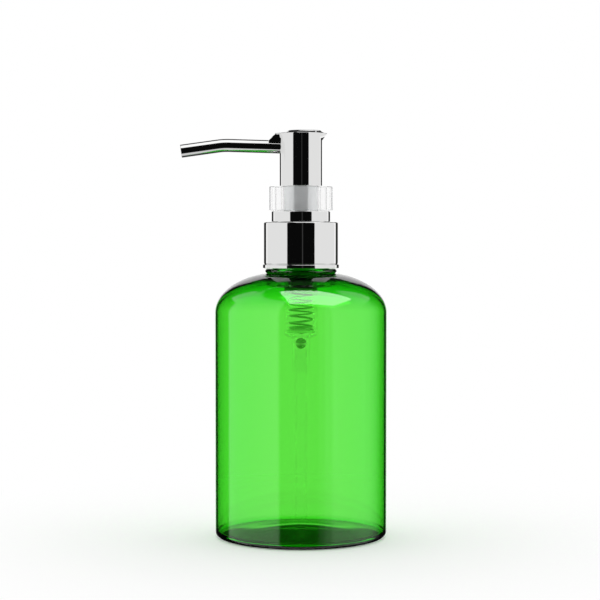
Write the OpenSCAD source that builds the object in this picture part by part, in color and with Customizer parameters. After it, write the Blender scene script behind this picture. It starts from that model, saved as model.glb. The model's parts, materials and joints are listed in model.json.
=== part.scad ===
// Round bottle with a lock-clip lotion pump, in millimetres.
// Origin on the bottle's axis at the floor, +Z up, spout towards -X, clip pulls off towards -Y.
// Every inner piece takes its place from the neck and the collar above it, by named clearances.

/* [Bottle] */
// Outer diameter of the body
body_d = 76; // [66:0.5:90]
// Height of the straight wall, from the floor to the shoulder
body_h = 99.4; // [90:0.2:130]
// Rise of the domed shoulder above the straight wall
shoulder_rise = 17.8; // [12:0.2:24]
// Radius inside which the dome would be level
shoulder_level_r = 8.9; // [6:0.1:10]
// Wall of the body
body_wall = 1; // [0.6:0.1:1.6]
// Wall where the shoulder meets the neck
shoulder_wall = 2.2; // [1.4:0.1:3]
// Radius of the heel between wall and base
heel_r = 2.6; // [1.5:0.1:4]
// Width of the ring that the bottle stands on
foot_w = 3.2; // [2:0.1:6]
// Height of the pushed-up middle of the base
push_up = 3; // [2:0.5:7]
// Thickness of the base
base_t = 1.8; // [1.2:0.1:3]

/* [Neck] */
// Outer diameter of the neck
neck_d = 25; // [23:0.1:26.5]
// Diameter of the neck's bore
neck_bore_d = 21.8; // [20.4:0.1:22.4]
// Height of the neck above its support ring
neck_h = 16.4; // [14:0.1:20]
// Diameter of the support ring
ring_d = 31.6; // [29:0.1:33]
// Height of the support ring
ring_h = 1.5; // [1:0.1:2.5]

/* [Collar] */
// Outer diameter of the chrome collar
collar_d = 32.9; // [32:0.1:36]
// Wall of the chrome collar
collar_wall = 0.55; // [0.4:0.05:0.8]
// Outer diameter of the collar's upper tier
tier_d = 26; // [24:0.1:28]
// Height of the upper tier
tier_h = 4.9; // [3.5:0.1:7]
// Outer diameter of the bead at the collar's foot
bead_d = 33.8; // [33:0.1:37]
// Height of the bead
bead_h = 1.7; // [1:0.1:3]
// Radius of the collar's edges
edge_r = 0.6; // [0.3:0.05:0.9]
// Wall of the threaded cap under the chrome
cap_wall = 1.8; // [1.2:0.1:2]
// Thickness of the cap's top plate
cap_plate_t = 1.3; // [0.9:0.1:2]
// Number of grip ribs on the cap
cap_ribs = 24; // [12:1:36]

/* [Lock clip] */
// Outer diameter of the clip
clip_d = 28; // [25:0.1:32]
// Wall of the clip's outer ring
clip_wall = 2.3; // [1.6:0.1:3]
// Height of the clip
clip_h = 10.3; // [9.9:0.1:14]
// Wall of the hub that grips the column
hub_wall = 1.05; // [0.8:0.05:1.4]
// Thickness of the ribs between hub and ring
clip_rib_t = 1.2; // [0.8:0.1:2]
// Opening of the outer ring, in degrees
ring_open = 92; // [86:1:110]
// Opening of the hub, in degrees
hub_open = 130; // [120:1:150]

/* [Head] */
// Outer diameter of the head
head_d = 18.8; // [17.8:0.1:22]
// Height of the head
head_h = 24.5; // [23:0.1:30]
// Wall of the head's skirt
head_wall = 1.4; // [0.8:0.05:1.6]
// Length of the head's boat-shaped top, from point to point
lip_d = 23.1; // [22.6:0.1:26]
// Height over which the points run out of the round skirt
flare_h = 3.1; // [2:0.1:4]
// Height of the crown above the top's edge
crown_h = 1.3; // [0.8:0.1:2]
// Width of the bevel round the crown
bevel_w = 1.8; // [1.2:0.1:2.5]
// How far the flat of the crown lies off the axis, away from the spout
crown_shift = 1.2; // [0:0.1:1.5]

/* [Spout] */
// Outer diameter of the spout
spout_d = 5.9; // [5.5:0.1:7]
// Wall of the chrome spout
spout_wall = 0.75; // [0.5:0.05:0.9]
// Wall of the liner in the spout
liner_wall = 0.65; // [0.5:0.05:0.8]
// Depth of the spout's axis below the top of the head
spout_drop = 7.5; // [6.5:0.1:8.5]
// Reach of the straight run, from the head's axis to the bend
run_l = 31.6; // [25:0.1:45]
// Length of the spout past its bend
tip_l = 16.4; // [8:0.1:25]
// Rise of the straight run, in degrees
run_rise = 1.7; // [0:0.1:6]
// Angle of the bend
bend_angle = 9.6; // [5:0.1:30]
// Radius of the bend
bend_r = 30; // [15:1:50]
// Width of the web between lip and spout
web_w = 5.2; // [3:0.1:5.4]
// Reach of the web's edge beyond the lip, along the spout
web_reach = 2.8; // [1.5:0.1:5]
// How far the liner's end lies inside the tip
liner_inset = 0.4; // [0.2:0.1:1]

/* [Pump] */
// Travel of the head
stroke = 9.8; // [8:0.1:9.8]
// Diameter of the guide column
column_d = 15.4; // [14.8:0.1:15.8]
// Wall of the guide column
column_wall = 1.1; // [0.8:0.05:1.4]
// Length of column inside the head at rest
column_lap = 3.2; // [2:0.1:4]
// Depth of the column's plug in the housing
plug_depth = 9; // [6:0.1:12]
// Outer diameter of the core's boss round the stem
boss_d = 10; // [9:0.1:10.4]
// Outer diameter of the stem
stem_d = 6.8; // [6.2:0.1:7.2]
// Diameter of the stem's bore
stem_bore_d = 3.9; // [3:0.1:4.2]
// Depth of the stem's seat above the core's underside
stem_seat = 2.3; // [1.5:0.1:3]
// Diameter of the pump chamber
chamber_d = 12.4; // [12:0.1:12.8]
// Length of the pump chamber
chamber_l = 38; // [36:0.5:46]
// Wall of the pump chamber
chamber_wall = 1.2; // [0.8:0.1:1.4]
// Thickness of the housing's flange
flange_t = 1.2; // [0.8:0.1:2]
// Thickness of the gasket
gasket_t = 1.1; // [0.8:0.1:2]
// Length of the piston
piston_l = 7; // [6:0.1:9]
// Lost motion of the stem in the piston
lost_motion = 0.8; // [0.4:0.1:1.2]
// Length of the valve rod's shank in the stem
shank_l = 10; // [6:0.5:14]
// Diameter of the spring's wire
wire_d = 0.9; // [0.6:0.05:1]
// Mean diameter of the spring
coil_d = 9.8; // [9.4:0.1:10.2]
// Number of turns of the spring
turns = 9; // [6:1:11]

/* [Inlet] */
// Diameter of the inlet ball
ball_d = 4.8; // [4.4:0.1:5]
// Lift of the inlet ball
ball_lift = 1.5; // [1:0.1:2]
// Outer diameter of the dip tube
tube_d = 5.4; // [4.8:0.1:6]
// Wall of the dip tube
tube_wall = 0.7; // [0.5:0.05:1]
// Depth of the tube's socket under the housing
socket_l = 10; // [6:0.5:14]
// Wall of the tube's socket
socket_wall = 1.1; // [0.8:0.1:1.4]
// Gap between the tube's cut end and the base
tube_gap = 3; // [2:0.5:6]

/* [Clearances] */
// Radial gap between pieces that are pressed together
fit = 0.05; // [0.03:0.01:0.08]
// Radial gap of a sliding shaft
running = 0.05; // [0.03:0.01:0.09]
// Gap between pieces that pass each other
pass = 0.3; // [0.25:0.05:0.35]

/* [Hidden] */
$fn = 96;

bottle_green = [0.36, 0.88, 0.28, 0.55];
clear_plastic = [0.9, 0.94, 0.96, 0.4];
natural_plastic = [0.93, 0.94, 0.93];
white_plastic = [0.95, 0.95, 0.94];
chrome = [0.78, 0.79, 0.8];
steel = [0.6, 0.62, 0.64];
foam = [0.9, 0.9, 0.86];

// Depth that a cutting tool runs past a face
past = 1;

// Heights of the bottle's neck
body_r = body_d / 2;
neck_r = neck_d / 2;
bore_r = neck_bore_d / 2;
ring_z = body_h + shoulder_rise + 0.1;
ring_top = ring_z + ring_h;
neck_top = ring_top + neck_h;

// Heights of what is stacked on the neck
flange_z = neck_top + gasket_t;
cap_plate_z = flange_z + flange_t;
cap_plate_top = cap_plate_z + cap_plate_t;
collar_foot = ring_top + pass;
collar_top = cap_plate_top + fit + collar_wall;
tier_top = collar_top + tier_h;
clip_z = tier_top + pass;
head_z = clip_z + clip_h + pass;
head_top = head_z + head_h;

// Radii from the guide column outwards
column_r = column_d / 2;
column_bore_r = column_r - column_wall;
column_top = head_z + column_lap;
column_foot = cap_plate_z - plug_depth;
column_web_t = 2;
roof_t = 1.2;
hub_in_r = column_r + 0.15;
hub_out_r = hub_in_r + hub_wall;
clip_r = clip_d / 2;
clip_in_r = clip_r - clip_wall;
snap_r = column_r + 2.6;
snap_t = 1.3;

// Head and core
head_r = head_d / 2;
head_in_r = head_r - head_wall;
lip_r = lip_d / 2;
lip_z = head_top - crown_h;
rim = 0.25;
flare_z = lip_z - flare_h;
core_z = column_top + stroke + pass + 0.2;
core_top = head_top - 2.1;
core_r = head_in_r - fit;
boss_z = column_top + 1.6;

// Spout
spout_r = spout_d / 2;
spout_bore_r = spout_r - spout_wall;
liner_r = spout_bore_r - fit;
channel_r = liner_r - liner_wall;
spout_z = head_top - spout_drop;
liner_start = 3.6;

// Stem and valve
stem_r = stem_d / 2;
stem_bore_r = stem_bore_d / 2;
stem_top = core_z + stem_seat;
stem_neck_r = stem_r - 0.7;
piston_top = column_foot - pass;
piston_z = piston_top - piston_l;
piston_bore_r = stem_neck_r + running;
stem_step_z = piston_top + lost_motion + fit;
stem_foot = piston_z + 1.8;
cone_r = 3.9;
cone_z = piston_z - 0.2;
cone_top_r = 2.4;
cone_top = cone_z + cone_r - cone_top_r;
seat_t = 1.2;
rod_seat_top = cone_z - 2.2;
rod_seat_z = rod_seat_top - seat_t;
shank_r = stem_bore_r - fit;

// Chamber, cage, ball and tube
chamber_r = chamber_d / 2;
chamber_out_r = chamber_r + chamber_wall;
plug_r = column_r + fit;
plug_out_r = plug_r + 1.15;
flange_r = neck_r + 0.4;
chamber_z = column_foot - chamber_l;
cage_t = 1.2;
cage_top = chamber_z + cage_t;
spigot_r = coil_d / 2 - wire_d / 2 - 0.2;
spigot_l = 1.6;
ball_r = ball_d / 2;
pocket_r = ball_r + 0.5;
ball_seat_r = ball_r - 0.9;
ball_gap = 0.08;
stop_gap = 0.25;
// The ball stands on a 45 degree seat, so its centre lies the square root of two radii above the seat's apex
pocket_l = ball_r + ball_r * sqrt(2) - pocket_r + ball_gap + ball_lift + stop_gap + 0.6;
pocket_z = chamber_z - pocket_l;
ball_z = pocket_z - pocket_r + ball_r * sqrt(2) + ball_gap;
ball_seat_z = pocket_z - (pocket_r - ball_seat_r);
socket_top = ball_seat_z - 0.6;
socket_foot = socket_top - socket_l;
tube_r = tube_d / 2;
socket_r = tube_r + fit;
socket_out_r = socket_r + socket_wall;
tube_top = socket_top - pass;
tube_foot = push_up + base_t + tube_gap;

// Closure cap
cap_r = collar_d / 2 - collar_wall - fit;
cap_in_r = cap_r - cap_wall;
cap_foot = collar_foot + pass;
tower_r = tier_d / 2 - collar_wall - fit;
tower_in_r = snap_r + pass;
tower_top = tier_top - collar_wall - fit;

// Points on an ellipse arc round [cx, cz], from angle a0 to a1 in n steps
function arc(cx, cz, rx, rz, a0, a1, n) =
    [for (i = [0 : n]) let (a = a0 + (a1 - a0) * i / n) [cx + rx * cos(a), cz + rz * sin(a)]];

// Points of a smooth hump round the axis, from its top out to radius r
function hump(r, rise, z, n) = [for (i = [0 : n]) [r * i / n, z + rise * (1 + cos(180 * i / n)) / 2]];

module lathe(points) rotate_extrude() polygon(points);

module ring(r_out, r_in, z0, z1) {
    translate([0, 0, z0]) difference() {
        cylinder(h = z1 - z0, r = r_out);
        translate([0, 0, -past]) cylinder(h = z1 - z0 + 2 * past, r = r_in);
    }
}

// Blown bottle: one outline for the outside, one for the inside
module bottle() {
    dome_rx = body_r - shoulder_level_r;
    meet = acos((neck_r - shoulder_level_r) / dome_rx);
    in_r = body_r - body_wall;
    in_rx = in_r - shoulder_level_r;
    in_rise = shoulder_rise - shoulder_wall;
    in_meet = acos((bore_r - shoulder_level_r) / in_rx);
    foot_r = body_r - heel_r;
    foot_in_r = foot_r - foot_w;
    in_heel_r = heel_r - body_wall / 2;
    in_foot_r = in_r - in_heel_r;
    land_r = 0.4;
    outside = concat(
        hump(foot_in_r, push_up, 0, 16),
        arc(foot_r, heel_r, heel_r, heel_r, -90, 0, 6),
        arc(shoulder_level_r, body_h, dome_rx, shoulder_rise, 0, meet, 30),
        [[neck_r, ring_z], [ring_d / 2 - 0.5, ring_z]],
        arc(ring_d / 2 - 0.5, ring_z + ring_h / 2, 0.5, ring_h / 2, -60, 60, 4),
        [[ring_d / 2 - 0.5, ring_top], [neck_r, ring_top], [neck_r, neck_top - land_r],
         [neck_r - land_r, neck_top], [0, neck_top]]
    );
    inside = concat(
        hump(foot_in_r, push_up, base_t, 16),
        arc(in_foot_r, base_t + in_heel_r, in_heel_r, in_heel_r, -90, 0, 6),
        arc(shoulder_level_r, body_h, in_rx, in_rise, 0, in_meet, 26),
        [[bore_r, neck_top + past], [0, neck_top + past]]
    );
    color(bottle_green) difference() {
        lathe(outside);
        lathe(inside);
    }
}

module gasket() {
    color(foam) ring(flange_r, plug_out_r + 0.15, neck_top, flange_z);
}

// Pump cylinder: flange, plug socket, chamber, ball pocket and tube socket on one axis
module housing() {
    pocket_out_r = pocket_r + 1.1;
    vent_r = 0.5;
    vent_z = piston_z + piston_l / 2;
    color(natural_plastic) difference() {
        lathe([
            [0, socket_foot], [socket_out_r, socket_foot], [socket_out_r, socket_top],
            [pocket_out_r, socket_top + 1.2], [pocket_out_r, chamber_z - 2.6],
            [chamber_out_r, chamber_z - 1], [chamber_out_r, column_foot - 2.4],
            [plug_out_r, column_foot - 1], [plug_out_r, flange_z], [flange_r, flange_z],
            [flange_r, cap_plate_z], [0, cap_plate_z]
        ]);
        lathe([
            [0, socket_foot - past], [socket_r, socket_foot - past], [socket_r, socket_top],
            [ball_seat_r, socket_top], [ball_seat_r, ball_seat_z], [pocket_r, pocket_z],
            [pocket_r, chamber_z], [chamber_r, chamber_z], [chamber_r, column_foot],
            [plug_r, column_foot], [plug_r, cap_plate_z + past], [0, cap_plate_z + past]
        ]);
        translate([chamber_out_r + past, 0, vent_z]) rotate([0, -90, 0])
            cylinder(h = chamber_wall + 2 * past, r = vent_r, $fn = 24);
    }
}

module dip_tube() {
    notch_h = 2.4;
    color(clear_plastic) difference() {
        ring(tube_r, tube_r - tube_wall, tube_foot, tube_top);
        // Slanted cut, so that the tube can't seal itself on the base
        translate([-tube_r - past, -tube_r - past, tube_foot]) rotate([0, 24, 0])
            translate([0, 0, -notch_h - past]) cube([3 * tube_d, 2 * tube_r + 2 * past, notch_h + past]);
    }
}

module inlet_ball() {
    color(steel) translate([0, 0, ball_z]) sphere(r = ball_r);
}

// Plate with four windows, a stub that stops the ball and a spigot that centres the spring
module valve_cage() {
    stub_r = 1.2;
    bar_w = 1.6;
    window_in_r = 1.9;
    window_out_r = spigot_r - 1;
    stub_foot = ball_z + ball_r + ball_lift + stop_gap;
    color(white_plastic) {
        difference() {
            union() {
                translate([0, 0, chamber_z]) cylinder(h = cage_t, r = chamber_r - fit);
                ring(spigot_r, window_out_r, chamber_z, cage_top + spigot_l);
            }
            translate([0, 0, chamber_z - past]) difference() {
                cylinder(h = cage_t + 2 * past, r = window_out_r);
                cylinder(h = cage_t + 2 * past, r = window_in_r);
                for (turn = [0, 90])
                    rotate([0, 0, turn]) translate([-chamber_r, -bar_w / 2, 0])
                        cube([chamber_d, bar_w, cage_t + 2 * past]);
            }
        }
        translate([0, 0, stub_foot]) cylinder(h = chamber_z - stub_foot + cage_t / 2, r = stub_r);
    }
}

// Closed coil at each end and open turns between, swept by its own wire circle
module spring() {
    sides = 8;
    steps = 20 * turns;
    foot = cage_top + wire_d / 2;
    rise = rod_seat_z - cage_top - wire_d;
    closed = 1;
    closed_rise = closed * wire_d * 1.04;
    function height(t) =
        t < closed ? t * wire_d * 1.04
        : t > turns - closed ? rise - (turns - t) * wire_d * 1.04
        : closed_rise + (rise - 2 * closed_rise) * (t - closed) / (turns - 2 * closed);
    points = [
        for (i = [0 : steps], k = [0 : sides - 1])
            let (t = turns * i / steps, a = 360 * t, b = 360 * k / sides,
                 r = coil_d / 2 + wire_d / 2 * cos(b))
            [r * cos(a), r * sin(a), foot + height(t) + wire_d / 2 * sin(b)]
    ];
    walls = [
        for (i = [0 : steps - 1], k = [0 : sides - 1])
            let (n = (k + 1) % sides)
            [i * sides + k, (i + 1) * sides + k, (i + 1) * sides + n, i * sides + n]
    ];
    first_end = [for (k = [0 : sides - 1]) k];
    last_end = [for (k = [sides - 1 : -1 : 0]) steps * sides + k];
    color(steel) polyhedron(points, concat(walls, [first_end], [last_end]), convexity = 10);
}

// Spring seat, outlet cone and a cross-shaped shank that leaves the bore open
module valve_rod() {
    rib_t = 1.1;
    color(white_plastic) {
        lathe([
            [0, rod_seat_z - spigot_l], [spigot_r - 0.3, rod_seat_z - spigot_l], [spigot_r, rod_seat_z],
            [chamber_r - 0.7, rod_seat_z], [chamber_r - 0.7, rod_seat_top], [cone_r, rod_seat_top],
            [cone_r, cone_z], [cone_top_r, cone_top], [0, cone_top]
        ]);
        intersection() {
            translate([0, 0, cone_top - 0.5]) cylinder(h = shank_l + 0.5, r = shank_r);
            for (turn = [0, 90])
                rotate([0, 0, turn]) translate([-chamber_r, -rib_t / 2, cone_top - 0.5])
                    cube([chamber_d, rib_t, shank_l + 0.5]);
        }
    }
}

// Soft piston: a lip at each end runs on the chamber, the waist stays clear
module piston() {
    lip_out_r = chamber_r - running;
    waist_r = chamber_r - 1;
    lip_l = 1.3;
    seat_r = cone_z + cone_r + 0.07 - piston_z;
    seat_h = seat_r - piston_bore_r;
    color(natural_plastic) lathe([
        [seat_r, piston_z], [lip_out_r - 0.15, piston_z], [lip_out_r, piston_z + 0.2],
        [lip_out_r, piston_z + lip_l], [waist_r, piston_z + 2 * lip_l],
        [waist_r, piston_top - 2 * lip_l], [lip_out_r, piston_top - lip_l],
        [lip_out_r, piston_top - 0.2], [lip_out_r - 0.15, piston_top],
        [piston_bore_r, piston_top], [piston_bore_r, piston_z + seat_h]
    ]);
}

module stem() {
    color(white_plastic) lathe([
        [stem_bore_r, stem_foot], [stem_neck_r, stem_foot], [stem_neck_r, stem_step_z],
        [stem_r, stem_step_z], [stem_r, stem_top - 0.4], [stem_r - 0.3, stem_top],
        [stem_bore_r, stem_top]
    ]);
}

// Fixed column: plugs into the housing, holds the cap by its snap ring and guides stem and head
module guide_column() {
    snap_z = cap_plate_top + pass;
    guide_r = stem_r + running;
    hole_r = boss_d / 2 + pass;
    color(white_plastic) lathe([
        [guide_r, column_foot], [column_r, column_foot], [column_r, snap_z], [snap_r, snap_z],
        [snap_r, snap_z + snap_t - 0.5], [column_r + 0.6, snap_z + snap_t], [column_r, snap_z + snap_t],
        [column_r, column_top - 0.5], [column_r - 0.5, column_top], [hole_r, column_top],
        [hole_r, column_top - roof_t], [column_bore_r, column_top - roof_t],
        [column_bore_r, column_foot + column_web_t], [guide_r, column_foot + column_web_t]
    ]);
}

// Threaded cap: the plate holds the flange down, the tower carries the collar's tier
module closure_cap() {
    plate_hole_r = column_r + pass;
    groove = 0.4;
    color(white_plastic) difference() {
        lathe([
            [cap_in_r, cap_foot], [cap_r, cap_foot], [cap_r, cap_plate_top], [tower_r, cap_plate_top],
            [tower_r, tower_top], [tower_in_r, tower_top], [tower_in_r, cap_plate_top],
            [plate_hole_r, cap_plate_top], [plate_hole_r, cap_plate_z], [cap_in_r, cap_plate_z]
        ]);
        // Grooves leave the grip ribs standing
        for (i = [0 : cap_ribs - 1])
            rotate([0, 0, 360 * i / cap_ribs]) translate([cap_r - groove, -cap_r * 0.08, cap_foot + 2])
                cube([groove + past, cap_r * 0.16, cap_plate_top - cap_foot - 4]);
    }
}

// Drawn chrome skin with tier, rounded edges and a rolled bead
module collar_shell() {
    r = collar_d / 2;
    tier_r = tier_d / 2;
    bead_r = bead_d / 2;
    hole_r = column_r + pass;
    bead_top = collar_foot + bead_h;
    roll = min(0.6, bead_h / 2);
    groove = 0.12;
    in_r = r - collar_wall;
    tier_in_r = tier_r - collar_wall;
    color(chrome) lathe(concat(
        [[in_r, collar_foot], [bead_r - roll, collar_foot]],
        arc(bead_r - roll, collar_foot + roll, roll, roll, -60, 0, 3),
        arc(bead_r - roll, bead_top - roll, roll, roll, 0, 75, 4),
        [[r - groove, bead_top], [r - groove, bead_top + 0.25], [r, bead_top + 0.4]],
        arc(r - edge_r, collar_top - edge_r, edge_r, edge_r, 0, 90, 5),
        [[tier_r, collar_top]],
        arc(tier_r - edge_r, tier_top - edge_r, edge_r, edge_r, 0, 90, 5),
        [[hole_r, tier_top], [hole_r, tier_top - collar_wall], [tier_in_r, tier_top - collar_wall],
         [tier_in_r, collar_top - collar_wall], [in_r, collar_top - collar_wall]]
    ));
}

// Flat outline of a ring that is open towards +Y. Its round ends are a hair narrower than the ring.
module open_ring(r_out, r_in, open) {
    hair = 0.1;
    reach = 3 * r_out;
    difference() {
        circle(r = r_out);
        circle(r = r_in);
        polygon(concat([[0, 0]], [for (a = [-1, 0, 1]) reach * [sin(a * open / 2), cos(a * open / 2)]]));
    }
    for (side = [-1, 1])
        rotate(side * open / 2) translate([0, (r_out + r_in) / 2]) circle(r = (r_out - r_in) / 2 - hair);
}

// Outer ring, a hub that snaps round the column, and a rib between them on each side
module lock_clip() {
    sunk = 0.3;
    color(clear_plastic) translate([0, 0, clip_z]) linear_extrude(clip_h) {
        open_ring(clip_r, clip_in_r, ring_open);
        open_ring(hub_out_r, hub_in_r, hub_open);
        for (side = [-1, 1])
            translate([side * (hub_out_r + clip_in_r) / 2, 0])
                square([clip_in_r - hub_out_r + 2 * sunk, clip_rib_t], center = true);
    }
}

// Solid of radius r along the spout's axis, from a distance along the run to its end.
// The tip is a hair slimmer than the bend and starts a little inside it, so that the two join cleanly.
module spout_path(r, start, inset) {
    lap = 0.3;
    slimmer = 0.02;
    translate([0, 0, spout_z]) rotate([0, -(90 - run_rise), 0]) {
        translate([0, 0, start]) cylinder(h = run_l - start, r = r);
        translate([-bend_r, 0, run_l]) {
            rotate([90, 0, 0]) rotate_extrude(angle = bend_angle) translate([bend_r, 0]) circle(r = r);
            rotate([0, -bend_angle, 0]) translate([bend_r, 0, -lap])
                cylinder(h = tip_l - inset + lap, r = r - slimmer);
        }
    }
}

// Core: fills the head above the column, takes the stem below and the liner at the side
module actuator_core() {
    stem_fit_r = stem_r + fit;
    well_r = stem_bore_r;
    well_top = spout_z + channel_r;
    color(white_plastic) difference() {
        lathe([
            [0, boss_z], [boss_d / 2, boss_z], [boss_d / 2, core_z], [core_r, core_z],
            [core_r, core_top - 0.6], [core_r - 0.6, core_top], [0, core_top]
        ]);
        translate([0, 0, boss_z - past]) cylinder(h = stem_top - boss_z + past + fit, r = stem_fit_r);
        translate([0, 0, stem_top - past]) cylinder(h = well_top - stem_top + past, r = well_r);
        translate([0, 0, spout_z]) rotate([0, -(90 - run_rise), 0]) {
            cylinder(h = core_r + past, r = channel_r);
            translate([0, 0, liner_start - fit]) cylinder(h = core_r + past, r = spout_bore_r);
        }
    }
}

module spout_liner() {
    color(natural_plastic) difference() {
        spout_path(liner_r, liner_start, liner_inset);
        spout_path(channel_r, liner_start - past, liner_inset - past);
    }
}

// Boat-shaped top: the round skirt runs out into a point on each side of the spout's line, under a low crown
module head_crown() {
    sides = 48;
    // The faceted skirt lies a little inside the round one
    inside = 0.04;
    hull() {
        translate([0, 0, flare_z]) cylinder(h = lip_z - flare_z, r = head_r - inside, $fn = sides);
        for (side = [-1, 1])
            translate([side * (lip_r - rim), 0, lip_z - rim]) cylinder(h = rim, r = rim, $fn = 12);
        translate([crown_shift, 0, lip_z]) cylinder(h = crown_h, r = head_r - bevel_w, $fn = sides);
    }
}

// Plated head: skirt, pointed top, web and spout in one moulding
module head_shell() {
    web_root = head_r - 1;
    inner_top = core_top + fit;
    color(chrome) difference() {
        union() {
            lathe([
                [0, head_z], [head_r - 0.2, head_z], [head_r, head_z + 0.2], [head_r, lip_z - rim / 2],
                [head_r - rim / 2, lip_z], [0, lip_z]
            ]);
            head_crown();
            spout_path(spout_r, head_r - head_wall / 2, 0);
            translate([0, web_w / 2, 0]) rotate([90, 0, 0]) linear_extrude(web_w) polygon([
                [-web_root, spout_z], [-web_root, lip_z - rim], [-(lip_r - rim), lip_z - rim],
                [-(lip_r + web_reach), lip_z - rim - web_reach], [-(lip_r + web_reach), spout_z]
            ]);
        }
        translate([0, 0, head_z - past]) cylinder(h = inner_top - head_z + past, r = head_in_r);
        spout_path(spout_bore_r, head_in_r - past, -past);
    }
}

bottle();
gasket();
housing();
dip_tube();
inlet_ball();
valve_cage();
spring();
valve_rod();
piston();
stem();
guide_column();
closure_cap();
collar_shell();
lock_clip();
actuator_core();
spout_liner();
head_shell();
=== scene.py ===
# %% [markdown]
# # A lotion bottle with a lock-clip pump
#
# The real object is a blown bottle of clear green plastic, hollow and empty, with a chrome-plated pump on
# its neck. A clear C-shaped clip sits between the collar and the head, so that the head can't be pressed
# in transit. Unclip it, press the head, and a spring lifts it again.
#
# The construction is already there, as the packed model. This script dresses it: it makes finer meshes
# where light shows every facet, gives each piece its finish, and lights it like a small photo studio.

import bmesh
import bpy
import json
import math
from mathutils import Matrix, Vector

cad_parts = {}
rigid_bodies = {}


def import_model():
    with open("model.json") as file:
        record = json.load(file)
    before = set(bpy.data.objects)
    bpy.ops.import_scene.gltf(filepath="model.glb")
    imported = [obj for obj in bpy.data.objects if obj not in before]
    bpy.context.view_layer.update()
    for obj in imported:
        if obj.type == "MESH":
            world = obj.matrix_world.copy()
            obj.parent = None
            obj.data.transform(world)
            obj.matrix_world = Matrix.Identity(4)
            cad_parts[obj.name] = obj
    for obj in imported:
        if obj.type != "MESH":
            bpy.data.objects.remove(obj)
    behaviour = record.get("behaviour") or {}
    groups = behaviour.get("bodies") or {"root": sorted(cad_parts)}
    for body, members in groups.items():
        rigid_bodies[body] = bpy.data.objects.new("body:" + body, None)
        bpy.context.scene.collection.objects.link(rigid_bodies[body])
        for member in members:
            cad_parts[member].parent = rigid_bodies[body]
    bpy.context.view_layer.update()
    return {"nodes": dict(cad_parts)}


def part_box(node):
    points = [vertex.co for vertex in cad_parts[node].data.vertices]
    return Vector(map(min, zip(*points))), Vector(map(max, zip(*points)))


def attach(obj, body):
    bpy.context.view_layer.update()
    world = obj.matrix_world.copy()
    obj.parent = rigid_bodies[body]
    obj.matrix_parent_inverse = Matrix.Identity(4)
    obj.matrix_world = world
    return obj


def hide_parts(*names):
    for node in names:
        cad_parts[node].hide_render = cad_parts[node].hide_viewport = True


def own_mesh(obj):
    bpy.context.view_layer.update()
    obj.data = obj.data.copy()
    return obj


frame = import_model()
MM = 0.001
print("nodes:", len(frame["nodes"]))

# %% [markdown]
# ## Camera
#
# The photograph is taken from about three quarters of a metre with a short telephoto lens, from just above
# the collar and tilted slightly down. A wider lens from nearer by would give the same width, but it would
# open the ellipse of the base and show the top of the shoulder. So the base shows as a shallow curve, and
# the top of the head doesn't show at all.

# %% Place the camera
CAMERA_BACK = 0.766
CAMERA_HEIGHT = 0.134
CAMERA_TILT_DEG = 2.173
CAMERA_PAN_DEG = 0.03
CAMERA_LENS = 103.9


def new_object(name, data):
    """Adds an object to the scene."""
    made = bpy.data.objects.new(name, data)
    bpy.context.collection.objects.link(made)
    return made


camera = new_object("camera", bpy.data.cameras.new("camera"))
camera.data.sensor_width = 36
camera.data.lens = CAMERA_LENS
camera.location = (0, -CAMERA_BACK, CAMERA_HEIGHT)
camera.rotation_euler = (math.radians(90 - CAMERA_TILT_DEG), 0, math.radians(CAMERA_PAN_DEG))
bpy.context.scene.camera = camera
print("camera at", [round(x, 3) for x in camera.location], "lens", camera.data.lens)

# %% [markdown]
# ## Studio
#
# Chrome has no colour of its own: it shows the room. The room here is a white backdrop behind the bottle,
# a pale panel on each side, a bright softbox overhead, and darkness round the camera, between the panels and
# over the backdrop. So each chrome cylinder gets the black stripe, the grey sides and the thin dark outline
# of the photograph, and the shoulder gets its four-sided highlight.
#
# Panels could be modelled as glowing planes, but the turned views would show their edges. The world's shader
# draws the room as rings of greys round the vertical axis instead, and it gives each kind of ray its own
# room: polished surfaces see the panels, clear plastic sees the lit backdrop, and matt surfaces see a soft
# tent of light with a dimmer front. The bottle's walls are the only surfaces smooth enough to count as
# singular, so Light Path tells their rays from those of the chrome and the clip, and each gets panels that
# suit it. The world and the materials are trees of nodes, so the helpers for those come first.

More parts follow.
